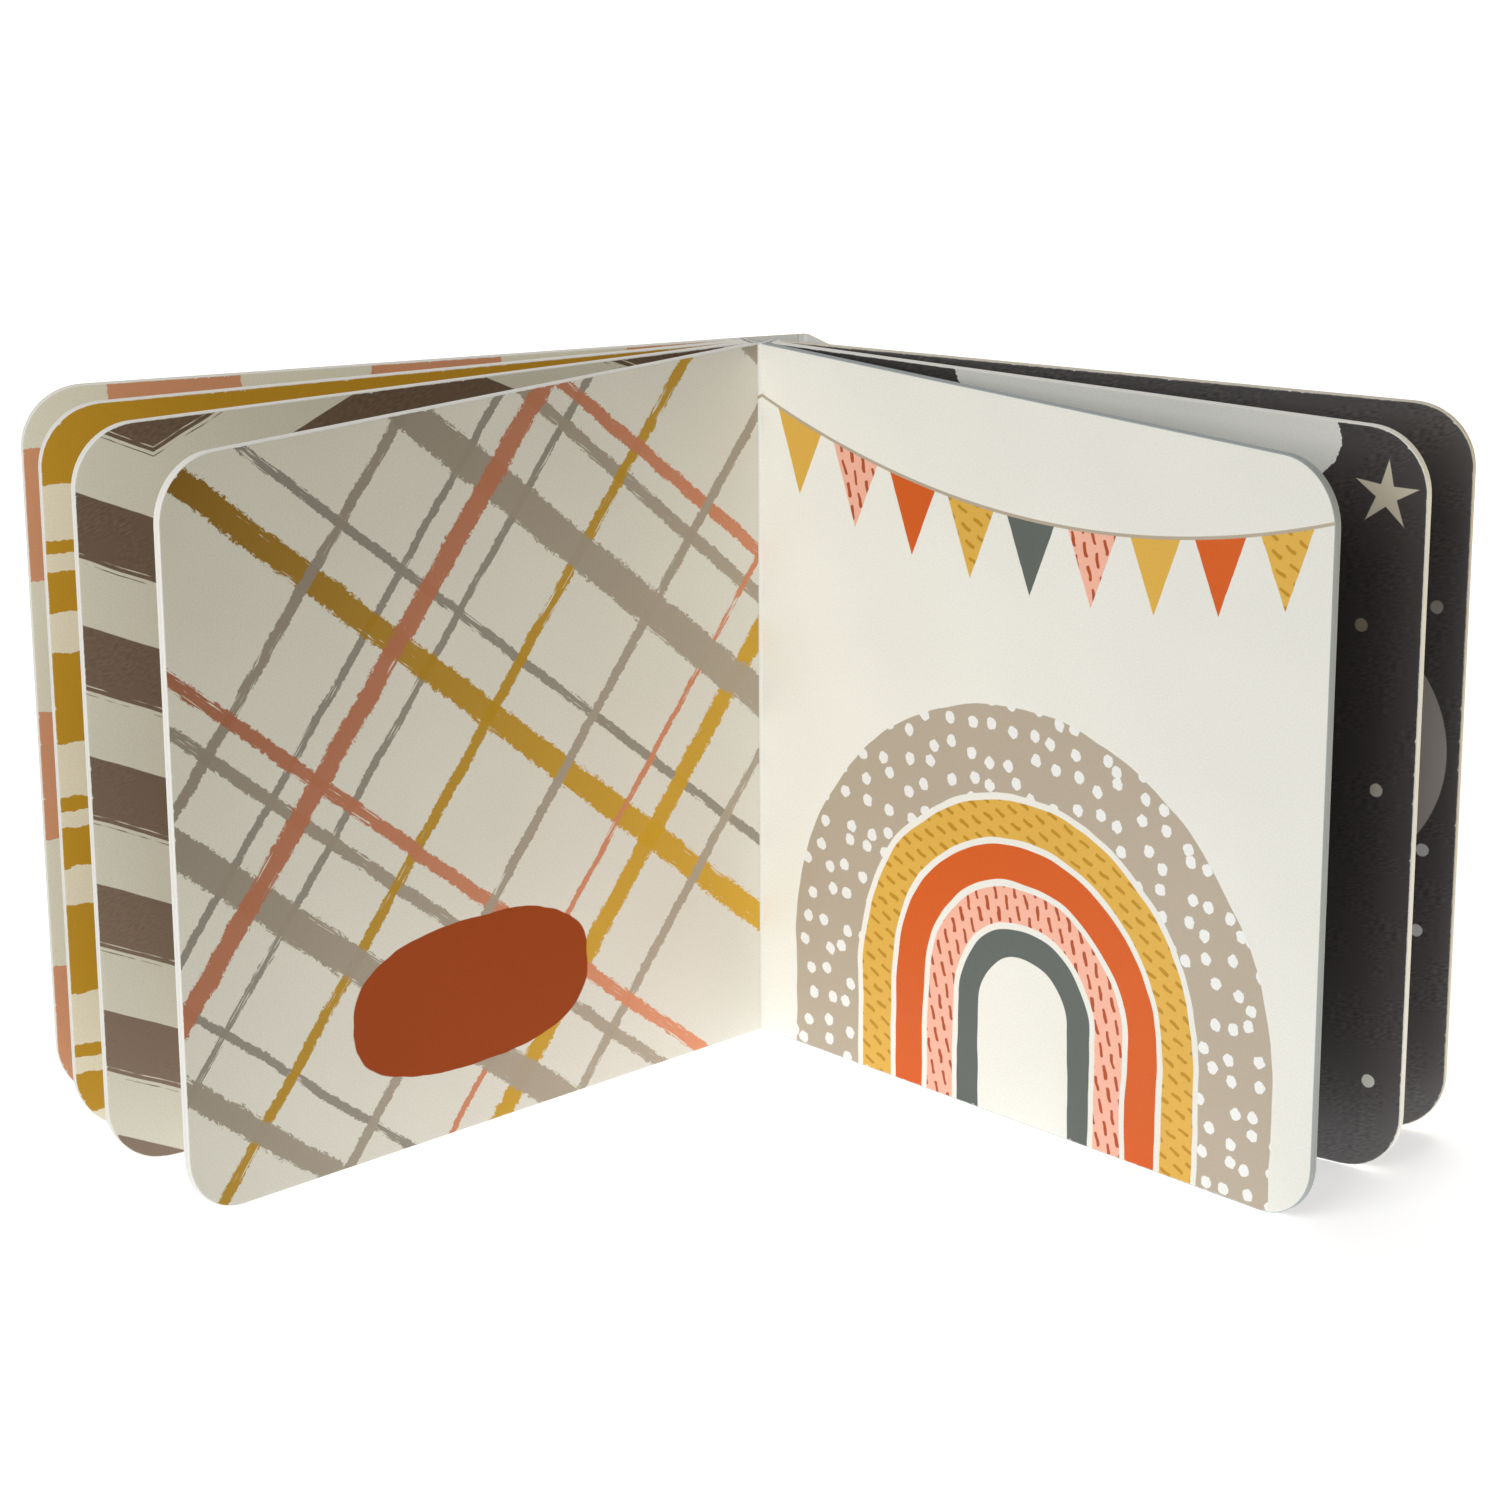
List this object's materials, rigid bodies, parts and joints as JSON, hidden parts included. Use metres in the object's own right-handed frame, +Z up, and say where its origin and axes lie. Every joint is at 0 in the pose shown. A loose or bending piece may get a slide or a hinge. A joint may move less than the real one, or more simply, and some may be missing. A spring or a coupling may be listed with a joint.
{
  "type": "board book",
  "caption": "Square board book standing open on its lower edge, with thick round-cornered leaves fanned out and both covers hinged at their folds.",
  "frame": {"origin": "foot of the main fold, in the middle of its sheet's thickness, on the surface the book stands on", "axes": "+X to the reader's right across the open spread, +Y away from the reader towards the spine, +Z up"},
  "size_m": [0.2866, 0.1139, 0.152],
  "materials": {
    "page_board": "satin laminate",
    "cover_board": "satin laminate",
    "cover_card": "satin laminate"
  },
  "bodies": {
    "block": {"pages": "page_board", "spine": "cover_card"},
    "front_cover": {"front_cover": "cover_board"},
    "back_cover": {"back_cover": "cover_board"}
  },
  "joints": [
    {"name": "front_cover_fold", "type": "hinge", "parent": "block", "child": "front_cover", "pos_m": [-0.00342, 0.00382, 0], "axis": [0, 0, -1], "range_deg": [-5.5, 85]},
    {"name": "back_cover_fold", "type": "hinge", "parent": "block", "child": "back_cover", "pos_m": [0.00266, 0.00219, 0], "axis": [0, 0, 1], "range_deg": [-8, 60]}
  ]
}
